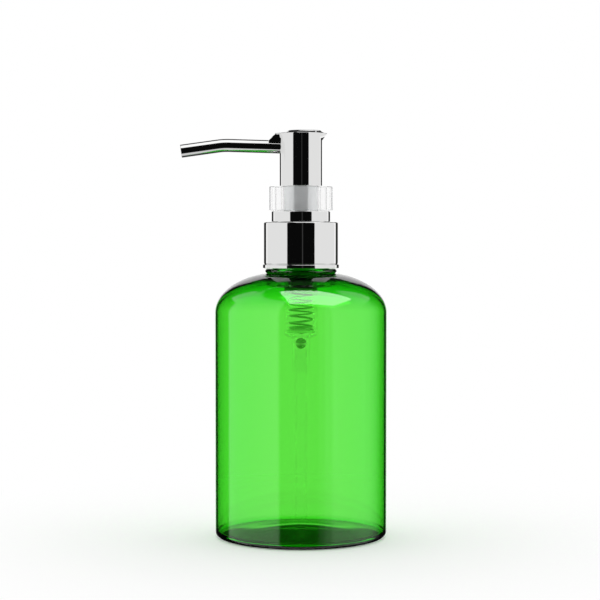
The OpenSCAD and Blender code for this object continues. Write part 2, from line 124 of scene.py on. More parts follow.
# %% Helpers for node trees
class Tree:
    """A node tree, with a short call for each thing that the world and the materials need more than once."""

    def __init__(self, tree):
        self.nodes, self.links = tree.nodes, tree.links

    def new(self, kind, **settings):
        """Adds a node and gives it its settings."""
        made = self.nodes.new(kind)
        for name, value in settings.items():
            setattr(made, name, value)
        return made

    def put(self, socket, value):
        """Sets an input to a number, a grey or a colour, or links another node's output to it."""
        if isinstance(value, bpy.types.NodeSocket):
            self.links.new(value, socket)
        elif socket.type == "RGBA":
            socket.default_value = (*value, 1) if isinstance(value, tuple) else (value, value, value, 1)
        else:
            socket.default_value = value

    def fill(self, node, values):
        """Puts a value on each named input of a node."""
        for name, value in values.items():
            self.put(node.inputs[name], value)

    def math(self, operation, *values):
        """The result of a Math node."""
        made = self.new("ShaderNodeMath", operation=operation)
        for socket, value in zip(made.inputs, values):
            self.put(socket, value)
        return made.outputs[0]

    def mix(self, factor, first, second):
        """The first colour or grey where the factor is 0, the second where it is 1."""
        made = self.new("ShaderNodeMix", data_type="RGBA")
        self.fill(made, {"Factor": factor, "A": first, "B": second})
        return made.outputs["Result"]

    def above(self, value, start, end):
        """A mask that goes from 0 to 1 as a value goes from start to end."""
        made = self.new("ShaderNodeMapRange")
        self.fill(made, {"Value": value, "From Min": start, "From Max": end})
        return made.outputs[0]

    def inside(self, value, low, high, low_edge=0.01, high_edge=0.01):
        """A mask that is 1 where a value lies between two limits, with a soft edge at each."""
        over = self.above(value, low - low_edge, low + low_edge)
        return self.all_of(over, self.above(value, high + high_edge, high - high_edge))

    def all_of(self, mask, *others):
        """A mask that is 1 only where all its masks are."""
        for other in others:
            mask = self.math("MULTIPLY", mask, other)
        return mask

    def either(self, first, second):
        """A mask that is 1 where one of two masks is."""
        return self.math("MAXIMUM", first, second)

    def inverse(self, mask):
        """The opposite of a mask."""
        return self.math("SUBTRACT", 1, mask)


print("helpers:", [name for name in vars(Tree) if not name.startswith("_")])

# %% Rooms as rings of greys
# Softness of a ring's edges in degrees, then its stops: an azimuth in degrees from the camera's side, towards
# +X, and the grey from there on
RINGS = {
    "backdrop": (0.6, [
        (-180, 1.0), (-164, 0.02), (-137, 1.0), (-128, 0.82), (-43, 0.003), (3.5, 0.04), (6.5, 0.003),
        (43, 0.82), (128, 1.0), (137, 0.02), (164, 1.0)]),
    "panels": (0.6, [(-180, 0.02), (-128, 0.82), (-43, 0.003), (43, 0.82), (128, 0.02)]),
    "body": (2, [
        (-180, 1.0), (-164, 0.01), (-112, 1.2), (-29, 0.003), (24, 0.25), (32, 0.6), (42, 1.1), (96, 0.9),
        (106, 0.65), (114, 0.4), (122, 0.15), (130, 0.01), (164, 1.0)]),
    "shoulder": (2, [(-180, 0.02), (-134, 1.2), (-29, 0.003), (28, 0.5), (38, 1.15), (134, 0.02)]),
    "clip": (4, [(-180, 1.0), (-43, 0.2), (43, 1.0)]),
    "soft": (12, [(-180, 0.98), (-62, 0.55), (-30, 0.3), (30, 0.55), (62, 0.98)]),
    "inner": (12, [(-180, 1.0), (-95, 2.6), (-43, 1.4), (43, 2.6), (95, 1.0)]),
}
world = bpy.data.worlds.new("studio")
bpy.context.scene.world = world
world.use_nodes = True
room = Tree(world.node_tree)
room.nodes.clear()


def axes_of(tree, vector):
    """The X, Y and Z of a vector."""
    axes = tree.new("ShaderNodeSeparateXYZ")
    tree.put(axes.inputs[0], vector)
    return axes.outputs


def ring_of_greys(share, edge, stops):
    """A colour ramp round the room: each grey holds up to the next stop, with an edge of its own softness."""
    ring = room.new("ShaderNodeValToRGB")
    places = [((stops[0][0] + 180) / 360, stops[0][1])]
    for (_, before), (azimuth, grey) in zip(stops, stops[1:]):
        places += [((azimuth - edge + 180) / 360, before), ((azimuth + edge + 180) / 360, grey)]
    while len(ring.color_ramp.elements) < len(places):
        ring.color_ramp.elements.new(0.5)
    for element, (place, grey) in zip(ring.color_ramp.elements, places):
        element.position = place
        element.color = (grey, grey, grey, 1)
    room.put(ring.inputs[0], share)
    return ring.outputs["Color"]


across, back, up = axes_of(room, room.new("ShaderNodeTexCoord").outputs["Generated"])
towards_camera = room.math("MULTIPLY", back, -1)
share = room.above(room.math("ARCTAN2", across, towards_camera), -math.pi, math.pi)
rings = {name: ring_of_greys(share, edge, stops) for name, (edge, stops) in RINGS.items()}
print("stops in the room's rings:", {name: len(stops) for name, (edge, stops) in RINGS.items()})

# %% [markdown]
# The heights below are sines of elevation. The backdrop ends 28 degrees up, where the shoulder's pale haze
# stops short in the photograph, and the side panels end higher. Over both it is dark, apart from the softbox.
# For chrome the backdrop ends as far below too, and the pale floor lies in front of the bottle only, so the
# spout gets a dark line along its top and its foot. The bottle's own panels stand closer together in front,
# which is why the stripe down its body is narrower than the one down the collar.
#
# Traced back from the highlight's corners, the softbox comes out as a rectangle a little to the right. It is
# drawn on a level ceiling, where a direction's X and Y, divided by its height, give the place. A photograph
# holds back what is too bright for it, so chrome sees the softbox as plain white, and the shoulder, which
# reflects only a little of it, sees its full glow. The spout is nearer to it, so for chrome it reaches
# further to the back.

# %% Heights of the room
BACKDROP_TOP = (0.46, 0.49)
PANEL_TOP = (0.7, 0.76)
SHOULDER_PANEL_TOP = (0.84, 0.88)
CEILING = 0.04
FLOOR_TOP = (0.72, 0.8)
FLOOR, FLOOR_BEHIND = 0.66, 0.05
FLOOR_END = (-0.1, 0.2)
SOFTBOX_GLOW, SOFTBOX_WHITE = 6.4, 1.1
SOFTBOX_X, SOFTBOX_Y = (-0.265, 0.98), (-0.8, 0.185)
SOFTBOX_FRONT_EDGE = 0.06
SOFTBOX_NEARER = 0.115
LEAST_HEIGHT = 0.01


def level_place(axis, height):
    """Where a direction meets a level plane at height 1, along one axis."""
    return room.math("DIVIDE", axis, room.math("MAXIMUM", height, LEAST_HEIGHT))


path = room.new("ShaderNodeLightPath").outputs
from_bottle = path["Is Singular Ray"]
down = room.math("MULTIPLY", up, -1)
steep = room.math("ABSOLUTE", up)
chrome_walls = room.mix(room.above(steep, *BACKDROP_TOP), rings["backdrop"], rings["panels"])
body_walls = room.mix(room.above(up, *BACKDROP_TOP), rings["body"], rings["shoulder"])
walls = room.mix(from_bottle, chrome_walls, body_walls)
over_chrome_panels = room.math("SUBTRACT", room.above(up, *PANEL_TOP), from_bottle)
over_panels = room.either(room.above(up, *SHOULDER_PANEL_TOP), over_chrome_panels)
floor = room.mix(room.above(level_place(back, down), *FLOOR_END), FLOOR, FLOOR_BEHIND)
dark_room = room.mix(room.above(down, *FLOOR_TOP), room.mix(over_panels, walls, CEILING), floor)
ceiling_y = level_place(back, up)
nearer_y = room.math("MULTIPLY_ADD", room.inverse(from_bottle), -SOFTBOX_NEARER, ceiling_y)
ceiling_y = room.mix(room.above(ceiling_y, 0, SOFTBOX_NEARER), ceiling_y, nearer_y)
softbox = room.all_of(room.inside(level_place(across, up), *SOFTBOX_X),
                      room.inside(ceiling_y, *SOFTBOX_Y, low_edge=SOFTBOX_FRONT_EDGE))
lit_room = room.mix(softbox, dark_room, room.mix(from_bottle, SOFTBOX_WHITE, SOFTBOX_GLOW))
print("the room has", len(rings), "rings and a softbox of radiance", SOFTBOX_GLOW)

# %% [markdown]
# A ray that only passes through clear walls sees the lit backdrop. One that the near wall has turned back
# sees the room instead: it has more bounces than transmissions. The world counts the last way out as a bounce
# of its own, so one is taken off. That is what draws the dark lines along the edges of the bottle. The clip
# turns rays back into a paler room, and so do the pump's pieces behind two walls of the bottle, or else they
# would stand out in it. Only a first reflection sees the softbox. Rays that the base has turned up see a dark
# band, which keeps the base as deep a green as in the photograph.

# %% Give each kind of ray its room
SEEN_THROUGH_TOP, SEEN_THROUGH_DARK = (0.3, 0.55), 0.06
DEEP_DOWN, DEEP_FLOOR = (0.2, 0.4), 0.45
RISING, RISING_DARK = (0.1, 0.5), 0.1
RISING_EDGES = {"low_edge": 0.03, "high_edge": 0.05}
through = path["Is Transmission Ray"]
bounces = room.math("SUBTRACT", path["Ray Depth"], 1)
reflections = room.math("SUBTRACT", bounces, path["Transmission Depth"])
reflected = room.all_of(room.math("GREATER_THAN", reflections, 0.5), through)
near_wall = room.math("LESS_THAN", path["Transmission Depth"], 2.5)
turned_back = room.all_of(reflected, near_wall, from_bottle)
lights_matt = room.math("GREATER_THAN", path["Diffuse Depth"], 0.5)
not_matt = room.inverse(lights_matt)
straight_up = room.all_of(room.above(up, *SEEN_THROUGH_TOP), through, room.inverse(reflected))
seen_room = room.mix(straight_up, 1, SEEN_THROUGH_DARK)
seen_room = room.mix(room.all_of(room.above(down, *DEEP_DOWN), reflected), seen_room, DEEP_FLOOR)
seen_room = room.mix(room.all_of(room.inside(up, *RISING, **RISING_EDGES), reflected), seen_room, RISING_DARK)
seen_room = room.mix(room.all_of(reflected, room.inverse(from_bottle)), seen_room, rings["clip"])
seen = room.either(path["Is Camera Ray"], room.all_of(through, room.inverse(turned_back), not_matt))
polished = room.all_of(room.either(path["Is Glossy Ray"], turned_back), not_matt)
polished_room = room.mix(room.math("LESS_THAN", reflections, 1.5), dark_room, lit_room)
matt_room = room.mix(room.all_of(lights_matt, through), rings["soft"], rings["inner"])
background = room.new("ShaderNodeBackground")
room.put(background.inputs["Color"], room.mix(seen, room.mix(polished, matt_room, polished_room), seen_room))
room.put(room.new("ShaderNodeOutputWorld").inputs["Surface"], background.outputs[0])
print("world nodes:", len(room.nodes))

# %% [markdown]
# ## Table
#
# The bottle stands on a white table that runs into the backdrop with no edge. A little light of its own,
# only for the rays that look at it, makes the open table as white as the backdrop, and towards its rim it
# turns into plain white. What the bottle shades is then the soft contact shadow, with a touch of green where
# light has passed through the wall. Rays that clear walls have turned back don't meet the table at all: its
# front rim would draw a line across the bottle, and the photograph's table has no rim. Under the bottle the
# table has no light of its own and is painted dark grey: a painted shadow for the light the thick base keeps
# from it.

# %% Lay the table
TABLE_R = 0.22
# The dark grey is a painted shadow: the table's colour under the bottle, where the base would keep light away
TABLE_GREY, TABLE_PAINTED_SHADOW, TABLE_GLOW = 0.8, 0.15, 0.36
TABLE_FADE = (0.1, 0.2)
PAINTED_SHADOW_RADII = (0.034, 0.038)


def shader(name):
    """A new material with its Principled shader: (material, tree, principled)."""
    made = bpy.data.materials.new(name)
    made.use_nodes = True
    return made, Tree(made.node_tree), made.node_tree.nodes["Principled BSDF"]


def put_on(piece, material):
    """Gives a piece one material on all its faces."""
    piece.data.materials.clear()
    piece.data.materials.append(material)


bpy.ops.mesh.primitive_circle_add(vertices=96, radius=TABLE_R, fill_type="NGON")
table = bpy.context.object
table.name = "table"
table_white, tree, surface = shader("table_white")
path = tree.new("ShaderNodeLightPath").outputs
not_matt = tree.math("LESS_THAN", path["Diffuse Depth"], 0.5)
reflections = tree.math("SUBTRACT", path["Ray Depth"], path["Transmission Depth"])
turned_back = tree.all_of(tree.math("GREATER_THAN", reflections, 0.5), path["Is Transmission Ray"], not_matt)
looking = tree.either(path["Is Camera Ray"], path["Is Transmission Ray"])
looked_at = tree.all_of(looking, not_matt, tree.inverse(turned_back))
length = tree.new("ShaderNodeVectorMath", operation="LENGTH")
tree.put(length.inputs[0], tree.new("ShaderNodeTexCoord").outputs["Object"])
from_middle = length.outputs["Value"]
far = tree.all_of(tree.above(from_middle, *TABLE_FADE), looked_at)
# Painted shadow: inside these radii the table takes the dark grey and loses its glow
outside_painted_shadow = tree.above(from_middle, *PAINTED_SHADOW_RADII)
glow = tree.math("MULTIPLY_ADD", far, 1 - TABLE_GLOW, TABLE_GLOW)
tree.fill(surface, {
    "Roughness": 0.6, "Specular IOR Level": 0, "Emission Color": 1,
    "Base Color": tree.mix(far, tree.mix(outside_painted_shadow, TABLE_PAINTED_SHADOW, TABLE_GREY), 0),
    "Emission Strength": tree.all_of(looked_at, glow, outside_painted_shadow)})
passed_by = tree.new("ShaderNodeMixShader")
nothing = tree.new("ShaderNodeBsdfTransparent")
for socket, value in zip(passed_by.inputs, (turned_back, surface.outputs[0], nothing.outputs[0])):
    tree.put(socket, value)
tree.put(tree.nodes["Material Output"].inputs["Surface"], passed_by.outputs[0])
put_on(table, table_white)
table.visible_glossy = False
print("table", round(2 * TABLE_R, 2), "m across")

# %% [markdown]
# ## Shapes
#
# Nearly every piece of a pump was turned, blown or moulded round one axis, so most meshes here are lathe
# work: an outline of a few corners, each with its own rounding, swept round the axis. A screw modifier would
# do the same, but sweeping by hand lets a thread, a rib or a point change the section on its way round.

# %% Outlines with arcs and rounded corners
ARC_STEP_DEG = 10


def arc(cx, cz, rx, rz, a0, a1, n):
    """Points on an ellipse arc round (cx, cz), from angle a0 to a1 in n steps, in degrees."""
    angles = [math.radians(a0 + (a1 - a0) * i / n) for i in range(n + 1)]
    return [(cx + rx * math.cos(a), cz + rz * math.sin(a)) for a in angles]


def supported(outline, long=0.6, near=0.03):
    """Adds a point near both ends of each long straight side, so that smooth shading leaves it flat."""
    points = []
    for start, end in zip(outline, outline[1:] + outline[:1]):
        points.append(start)
        side = Vector(end) - Vector(start)
        if side.length > long:
            step = side.normalized() * near
            points += [tuple(Vector(start) + step), tuple(Vector(end) - step)]
    return points


def rounded(corners):
    """An outline from (x, z, radius) corners: a corner with a radius becomes an arc that meets both sides."""
    points = []
    for i, (x, z, radius) in enumerate(corners):
        if not radius:
            points.append((x, z))
            continue
        here = Vector((x, z))
        before = (Vector(corners[i - 1][:2]) - here).normalized()
        after = (Vector(corners[(i + 1) % len(corners)][:2]) - here).normalized()
        half = before.angle(after) / 2
        reach = radius / math.tan(half)
        centre = here + (before + after).normalized() * (radius / math.sin(half))
        start, end = here + before * reach - centre, here + after * reach - centre
        turn = math.atan2(start.x * end.y - start.y * end.x, start.dot(end))
        steps = max(2, math.ceil(abs(math.degrees(turn)) / ARC_STEP_DEG))
        for k in range(steps + 1):
            cos, sin = math.cos(turn * k / steps), math.sin(turn * k / steps)
            points.append((centre.x + start.x * cos - start.y * sin,
                           centre.y + start.x * sin + start.y * cos))
    return points


def column_of(r, low, high, step):
    """Points up a straight wall, close enough together to carry a thread."""
    count = max(1, round(abs(high - low) / step))
    return [(r, low + (high - low) * i / count) for i in range(count + 1)]


print("a rounded square has", len(rounded([(0, 0, 1), (4, 0, 1), (4, 4, 1), (0, 4, 1)])), "points")

# %% Lathe
ROUND = 192
SHARP_DEG = 35


def smooth(mesh):
    """Shades a mesh smooth, except at its sharp edges."""
    mesh.shade_smooth()
    mesh.set_sharp_from_angle(angle=math.radians(SHARP_DEG))


def finished(name, mesh):
    """A smooth-shaded object from a finished bmesh in metres."""
    bmesh.ops.recalc_face_normals(mesh, faces=mesh.faces)
    data = bpy.data.meshes.new(name)
    mesh.to_mesh(data)
    mesh.free()
    smooth(data)
    return new_object(name, data)


def lathe(name, outline, around=ROUND, shape=None):
    """Sweeps a closed (radius, height) outline in mm round the axis. shape, if given, changes the radii."""
    mesh = bmesh.new()
    rings = []
    for r, z in supported(outline):
        if r < MM:
            rings.append([mesh.verts.new((0, 0, z * MM))])
            continue
        ring = []
        for k in range(around):
            angle = 2 * math.pi * k / around
            out = (shape(r, z, angle) if shape else r) * MM
            ring.append(mesh.verts.new((out * math.cos(angle), out * math.sin(angle), z * MM)))
        rings.append(ring)
    for lower, upper in zip(rings, rings[1:] + rings[:1]):
        if len(lower) == 1 and len(upper) == 1:
            continue
        for k in range(around):
            n = (k + 1) % around
            corners = [lower[k % len(lower)], lower[n % len(lower)]]
            corners += [upper[n % len(upper)], upper[k % len(upper)]]
            mesh.faces.new(list(dict.fromkeys(corners)))
    return finished(name, mesh)


def place(piece, body, material_slot, material, *nodes):
    """Puts a finished piece on its body, in place of its CAD nodes, with its material."""
    put_on(piece, material)
    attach(piece, body)
    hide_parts(*nodes)
    print(piece.name, "has", len(piece.data.polygons), "faces and rides on", body)


def levels(node):
    """Foot, top and outer radius of a round CAD node, in mm."""
    low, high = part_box(node)
    return low.z / MM, high.z / MM, high.y / MM


print("the collar runs from", [round(x, 2) for x in levels("collar_shell")[:2]], "mm")

# %% [markdown]
# ## Finishes
#
# Two effects come back on nearly every piece, so each is a shader node group. Moulded skin is the faint
# unevenness that plastic keeps from its mould and plating keeps from the plastic under it: waves a few
# millimetres long, and patches that are a little more or less glossy. Handling is the fine hairlines that
# a polished surface gathers. Both are made of noise in the piece's own space, so they stay put as it moves.

# %% Group: moulded skin
def new_group(name, inputs, outputs):
    """A shader node group with named number inputs and outputs: (group, tree, its inputs, its outputs)."""
    group = bpy.data.node_groups.new(name, "ShaderNodeTree")
    for title, default in inputs.items():
        made = group.interface.new_socket(name=title, in_out="INPUT", socket_type="NodeSocketFloat")
        made.default_value = default
    for title in outputs:
        group.interface.new_socket(name=title, in_out="OUTPUT", socket_type="NodeSocketFloat")
    tree = Tree(group)
    return group, tree, tree.new("NodeGroupInput").outputs, tree.new("NodeGroupOutput").inputs


def noise(tree, scale, detail=2.0, stretch=None):
    """Noise in the piece's own space. stretch scales the space first, so that the pattern is drawn out."""
    place_in = tree.new("ShaderNodeTexCoord").outputs["Object"]
    if stretch:
        mapping = tree.new("ShaderNodeMapping")
        tree.fill(mapping, {"Vector": place_in, "Scale": stretch})
        place_in = mapping.outputs[0]
    made = tree.new("ShaderNodeTexNoise")
    tree.fill(made, {"Vector": place_in, "Scale": scale, "Detail": detail})
    return made.outputs["Fac"]


PATCH_SHARE = 0.4
moulded_skin, tree, given, result = new_group(
    "moulded_skin", {"Scale": 200, "Roughness": 0.1, "Variation": 0.02}, ["Height", "Roughness"])
tree.put(result["Height"], noise(tree, given["Scale"]))
patches = noise(tree, tree.math("MULTIPLY", given["Scale"], PATCH_SHARE), detail=4.0)
patches = tree.math("SUBTRACT", patches, 0.5)
tree.put(result["Roughness"], tree.math("MULTIPLY_ADD", patches, given["Variation"], given["Roughness"]))
print("moulded skin:", [s.name for s in moulded_skin.interface.items_tree])

# %% Group: handling
HAIRLINES = [(30, 900, 900), (700, 60, 700), (500, 700, 40)]
HAIRLINE_EDGE = (0.68, 0.74)
SPOT_SCALE, SPOT_EDGE = 60, (0.45, 0.65)
handling, tree, given, result = new_group(
    "handling", {"Roughness": 0.03, "Depth": 0.05, "Amount": 0.3}, ["Roughness"])
marks = 0
for stretch in HAIRLINES:
    line = noise(tree, 1, detail=1.0, stretch=stretch)
    marks = tree.either(tree.above(line, *HAIRLINE_EDGE), marks)
spots = tree.above(noise(tree, SPOT_SCALE), *SPOT_EDGE)
marks = tree.all_of(marks, spots, given["Amount"])
tree.put(result["Roughness"], tree.math("MULTIPLY_ADD", marks, given["Depth"], given["Roughness"]))
print("handling:", [s.name for s in handling.interface.items_tree])


# %% Use the groups in a material
def use_group(tree, group, **values):
    """Places a group in a material with its own values."""
    made = tree.new("ShaderNodeGroup", node_tree=group)
    tree.fill(made, values)
    return made.outputs


def raise_by(tree, surface, height, distance, invert=False):
    """Bump on a surface: a height of 1 stands out by the distance, in metres."""
    bump = tree.new("ShaderNodeBump", invert=invert)
    tree.fill(bump, {"Distance": distance, "Height": height})
    tree.put(surface.inputs["Normal"], bump.outputs[0])


def skin(tree, surface, scale, roughness, variation, bump):
    """Moulded skin on a surface: its waves as bump, in metres, and its patches in the roughness."""
    moulded = use_group(tree, moulded_skin, Scale=scale, Roughness=roughness, Variation=variation)
    tree.put(surface.inputs["Roughness"], moulded["Roughness"])
    raise_by(tree, surface, moulded["Height"], bump)


print("groups:", [group.name for group in bpy.data.node_groups])

# %% [markdown]
# ### Clear green plastic
#
# The bottle is dyed through, so its colour belongs to the volume and not to the surface: the thicker the
# wall and the longer the way through it, the deeper the green. The two walls that the light passes here let
# 82% of the green through, and only an eighth of the red and less of the blue. So the base colour is plain
# white, and a Volume Absorption node does the dyeing. Blown walls are slightly wavy, which the skin adds.

# %% Green clear plastic
GREEN_DENSITY = 1440
GREEN_PASSES = (0.288, 0.93, 0.052)
TWO_WALLS = 0.002


def clear(name, ior):
    """A clear material: (material, tree, principled)."""
    made, tree, surface = shader(name)
    tree.fill(surface, {"Base Color": 1, "Transmission Weight": 1, "IOR": ior})
    return made, tree, surface


green_clear, tree, surface = clear("green_clear", 1.5)
skin(tree, surface, scale=45, roughness=0.0015, variation=0.003, bump=0.00001)
dye = tree.new("ShaderNodeVolumeAbsorption")
tree.fill(dye, {"Density": GREEN_DENSITY, "Color": GREEN_PASSES})
tree.put(tree.nodes["Material Output"].inputs["Volume"], dye.outputs[0])
passed = [round(math.exp(-GREEN_DENSITY * (1 - c) * TWO_WALLS), 2) for c in GREEN_PASSES]
print("two 1 mm walls let through", passed)

# %% [markdown]
# ### Clear and natural plastic
#
# The clip is clear and colourless, like glass. The cylinder, the dip tube and the liner are natural plastic:
# the same kind of clear wall, but undyed and a little hazy, as such parts are before any colour is added. Its
# thin walls hardly show through the bottle, but its thick plug in the neck is milky, and its dark grey is
# painted shade that keeps the neck dark.

# %% Clear and natural plastic
THIN_ALPHA = 0.15
# The plug's dark grey is painted shade that keeps the neck dark; its higher alpha makes it milky
THIN_COLOUR, PLUG_PAINTED_SHADE = (0.97, 0.98, 0.98), (0.3, 0.33, 0.3)
PLUG_HEIGHT = (0.1118, 0.145)
clear_plastic, tree, surface = clear("clear_plastic", 1.49)
skin(tree, surface, scale=60, roughness=0.006, variation=0.002, bump=0.000002)
natural_plastic, tree, surface = clear("natural_plastic", 1.1)
own_height = axes_of(tree, tree.new("ShaderNodeTexCoord").outputs["Object"])["Z"]
# Within the plug's heights the colour is painted dark grey as shade, and the alpha rises
milky_painted_shade = tree.inside(own_height, *PLUG_HEIGHT, low_edge=0.001)
tree.fill(surface, {
    "Base Color": tree.mix(milky_painted_shade, THIN_COLOUR, PLUG_PAINTED_SHADE),
    "Alpha": tree.math("MULTIPLY_ADD", milky_painted_shade, 1 - THIN_ALPHA, THIN_ALPHA)})
skin(tree, surface, scale=300, roughness=0.05, variation=0.04, bump=0.00001)
print("clear materials:", green_clear.name, clear_plastic.name, natural_plastic.name)

# %% [markdown]
# ### Chrome
#
# The head and the collar are plated bright. A mirror needs no colour variation, but it is never quite flat:
# the plating follows the moulding under it, and handling leaves hairlines that only show beside a bright
# edge.

# %% Chrome
CHROME = (0.9, 0.9, 0.895)
chrome, tree, surface = shader("chrome")
marked = use_group(tree, handling, Roughness=0.02, Depth=0.12, Amount=0.5)
tree.fill(surface, {"Metallic": 1, "Base Color": CHROME, "Roughness": marked["Roughness"]})
moulded = use_group(tree, moulded_skin, Scale=220)
raise_by(tree, surface, moulded["Height"], 0.000006)
print("chrome reflects", CHROME)

# %% [markdown]
# ### White plastic, foam and steel
#
# The cap and the pump's small parts are satin white mouldings. The fixed column has a pearly plastic: flakes
# of mica in it reflect like a dull metal, so it shows the dark front of the room as a soft grey band down its
# middle. A part share of Metallic does that, in place of a metal film over a white base. The gasket is cut
# from closed-cell foam, so its face is a crust of tiny bubbles, with painted shade: it is coloured darker
# where the bump sinks. The spring and the ball are bright stainless steel; the wire keeps faint marks of its
# drawing die.

# %% White and pearly plastic
MOULDED_SCALE = 260
WHITE_DULL, WHITE_BRIGHT = (0.8, 0.805, 0.8), (0.84, 0.845, 0.84)
white_plastic, tree, surface = shader("white_plastic")
tint = tree.above(noise(tree, 90), 0.3, 0.7)
tree.fill(surface, {"IOR": 1.5, "Base Color": tree.mix(tint, WHITE_DULL, WHITE_BRIGHT)})
skin(tree, surface, MOULDED_SCALE, roughness=0.34, variation=0.12, bump=0.00001)
pearly_plastic, tree, surface = shader("pearly_plastic")
tree.fill(surface, {"Metallic": 0.45, "Base Color": (0.87, 0.89, 0.895)})
skin(tree, surface, MOULDED_SCALE, roughness=0.16, variation=0.06, bump=0.00001)
print("the column is", surface.inputs["Metallic"].default_value, "metallic")

# %% Foam
BUBBLE_SCALE, BUBBLE_DEPTH = 4000, 0.00008
# The darker grey is painted shade, where the bump sinks between the bubbles
BUBBLE_WALL, BUBBLE_PAINTED_SHADE = (0.86, 0.86, 0.82), (0.7, 0.7, 0.66)
foam, tree, surface = shader("foam")
cells = tree.new("ShaderNodeTexVoronoi")
tree.fill(cells, {"Scale": BUBBLE_SCALE, "Vector": tree.new("ShaderNodeTexCoord").outputs["Object"]})
bubbles = cells.outputs["Distance"]
raise_by(tree, surface, bubbles, BUBBLE_DEPTH, invert=True)
# Colour darkens where the bump sinks deeper: painted shade in the foam's hollows
tree.fill(surface, {"Roughness": 0.9, "Base Color": tree.mix(bubbles, BUBBLE_WALL, BUBBLE_PAINTED_SHADE)})
print("foam bubbles:", round(1000 / BUBBLE_SCALE, 2), "mm")

# %% Spring steel
spring_steel, tree, surface = shader("spring_steel")
marked = use_group(tree, handling, Roughness=0.3, Depth=0.2, Amount=0.8)
tree.fill(surface, {"Metallic": 1, "Base Color": (0.88, 0.88, 0.89), "Roughness": marked["Roughness"]})
print("materials:", len(bpy.data.materials))

# %% [markdown]
# ## Bottle
#
# A round bottle is stretched and blown from a moulded preform. The neck keeps the preform's thick wall and
# exact thread, and the wall thins down the shoulder to a millimetre at the body. The base is pushed up in a
# low hump, so that it stands on a ring and doesn't rock. The support ring under the collar is a half-round
# bead on the shoulder. One outline for the outside and one for the inside, lathed together, give real walls,
# which is what makes the light bend and darken as it should.

# %% Outline of the bottle
BODY_R = levels("bottle")[2]
BODY_H = 99.4
SHOULDER_RISE = 17.8
LEVEL_R = 8.9
BODY_WALL = 1.0
SHOULDER_WALL = 2.2
HEEL_R = 2.6
FOOT_W = 3.2
PUSH_UP = 3
BASE_T = 1.8
NECK_R = 12.5
BORE_R = 10.9
RING_R, RING_ROUND = 15.8, 1.0
RING_TOP, NECK_TOP = 118.8, 135.2
MOUTH_ROUND = 0.4


def hump(r, rise, z, n):
    """A smooth hump round the axis, from its top out to radius r."""
    return [(r * i / n, z + rise * (1 + math.cos(math.pi * i / n)) / 2) for i in range(n + 1)]


def bottle_outline():
    """The bottle's section: outside from the base's middle up to the mouth, and back down inside."""
    rx, in_rx = BODY_R - LEVEL_R, BODY_R - BODY_WALL - LEVEL_R
    meet = math.degrees(math.acos((RING_R - RING_ROUND - LEVEL_R) / rx))
    in_meet = math.degrees(math.acos((BORE_R - LEVEL_R) / in_rx))
    foot_r = BODY_R - HEEL_R
    in_heel = HEEL_R - BODY_WALL / 2
    in_foot = BODY_R - BODY_WALL - in_heel
    outside = hump(foot_r - FOOT_W, PUSH_UP, 0, 32)
    outside += arc(foot_r, HEEL_R, HEEL_R, HEEL_R, -90, 0, 12)
    outside += arc(LEVEL_R, BODY_H, rx, SHOULDER_RISE, 0, meet, 60)
    outside += arc(RING_R - RING_ROUND, RING_TOP - RING_ROUND, RING_ROUND, RING_ROUND, -75, 90, 12)
    outside += column_of(NECK_R, RING_TOP, NECK_TOP - MOUTH_ROUND, THREAD_STEP)
    outside += arc(NECK_R - MOUTH_ROUND, NECK_TOP - MOUTH_ROUND, MOUTH_ROUND, MOUTH_ROUND, 0, 90, 5)
    inside = [(BORE_R, NECK_TOP)]
    inside += arc(LEVEL_R, BODY_H, in_rx, SHOULDER_RISE - SHOULDER_WALL, in_meet, 0, 60)
    inside += arc(in_foot, BASE_T + in_heel, in_heel, in_heel, 0, -88, 10)
    inside += hump(foot_r - FOOT_W, PUSH_UP, BASE_T, 32)[::-1]
    return outside + inside


print("the bottle is", round(2 * BODY_R, 1), "mm across, and its neck", 2 * NECK_R, "mm")

# %% [markdown]
# The thread is one ridge that winds round one and a half times, and fades out at both ends. Where a ridge
# crosses the lathe's section depends on the angle, so the same helper serves the neck and, turned inside
# out, the cap. Both ridges stop halfway across the gap between neck and cap.

# %% Thread
THREAD_PITCH = 4.2
THREAD_TURNS = 1.5
THREAD_W = 1.1
THREAD_FADE = 0.12
THREAD_STEP = 0.2
THREAD_FLANK = 0.625
NECK_THREAD, NECK_THREAD_START = 0.75, 4.5


def thread_ridge(z, angle, first, height):
    """How far a thread stands proud at a height and an angle. Its first turn starts at the height first."""
    best = 0
    for whole in range(math.ceil(THREAD_TURNS) + 1):
        turn = whole + angle / (2 * math.pi)
        if turn <= THREAD_TURNS:
            off = abs(z - first - THREAD_PITCH * turn) / THREAD_W
            side = min(1, max(0, (1 - off) / THREAD_FLANK))
            end = min(1, turn / THREAD_FADE, (THREAD_TURNS - turn) / THREAD_FADE)
            best = max(best, height * side * end)
    return best


def neck_shape(r, z, angle):
    """The neck's outer wall carries the thread. All other walls stay round."""
    if abs(r - NECK_R) > MM or z <= RING_TOP or z >= NECK_TOP - MOUTH_ROUND:
        return r
    return r + thread_ridge(z, angle, RING_TOP + NECK_THREAD_START, NECK_THREAD)


bottle = lathe("bottle_blown", bottle_outline(), shape=neck_shape)
place(bottle, "bottle", "green_bottle", green_clear, "bottle")

# %% [markdown]
# ## Collar and cap
#
# The chrome collar is a thin drawn skin with a stepped tier, small rounded edges and a rolled bead at its
# foot. It only decorates: inside it sits a moulded cap, which has the thread, the grip ribs that hold the
# skin, and a tower that fills the tier. Each step is mirror-bright, and it is the rounding of the edges that
# draws the fine white lines there, so the arcs get many points.

